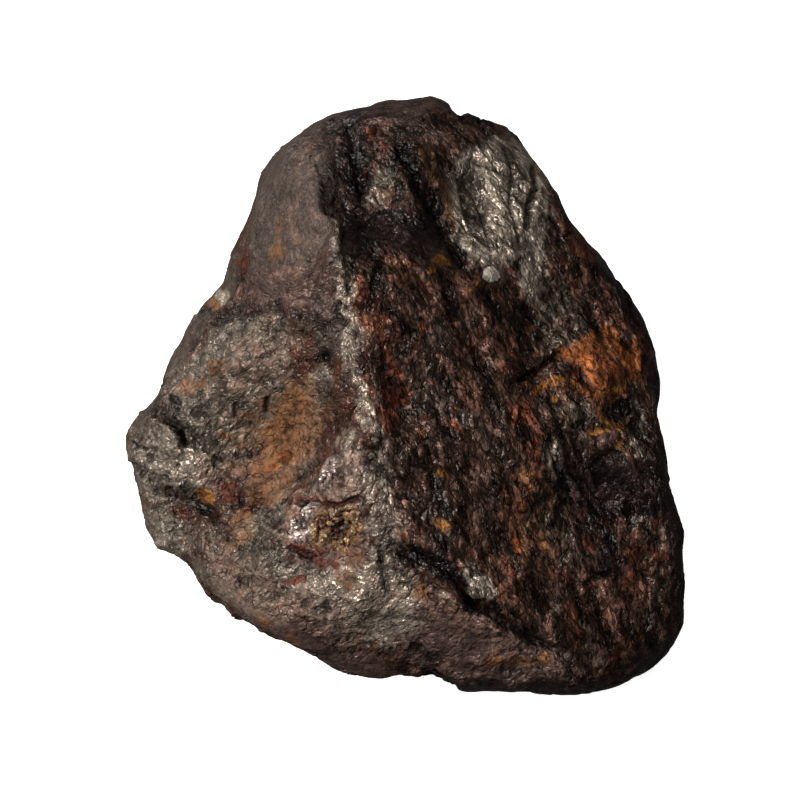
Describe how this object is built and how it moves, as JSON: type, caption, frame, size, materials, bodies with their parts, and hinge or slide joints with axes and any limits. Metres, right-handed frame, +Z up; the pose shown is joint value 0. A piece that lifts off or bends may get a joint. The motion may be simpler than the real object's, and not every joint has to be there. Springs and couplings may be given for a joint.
{
  "type": "iron meteorite",
  "caption": "Weathered iron meteorite, one solid angular lump with a central ridge, shallow hollows, flaky rust-brown skin and a worn flat it rests on.",
  "frame": {"origin": "on the ground, under the middle of the stone's bounding box", "axes": "+Z up from the flat the stone rests on, +X to the viewer's right in the picture, -Y towards the viewer"},
  "size_m": [0.0632, 0.0604, 0.0546],
  "materials": {
    "weathered_iron": "dark brown oxidised iron, satin to glossy, with rust-orange patches and bare grey metal flakes"
  },
  "bodies": {
    "root": {"meteorite": "weathered_iron"}
  },
  "joints": []
}
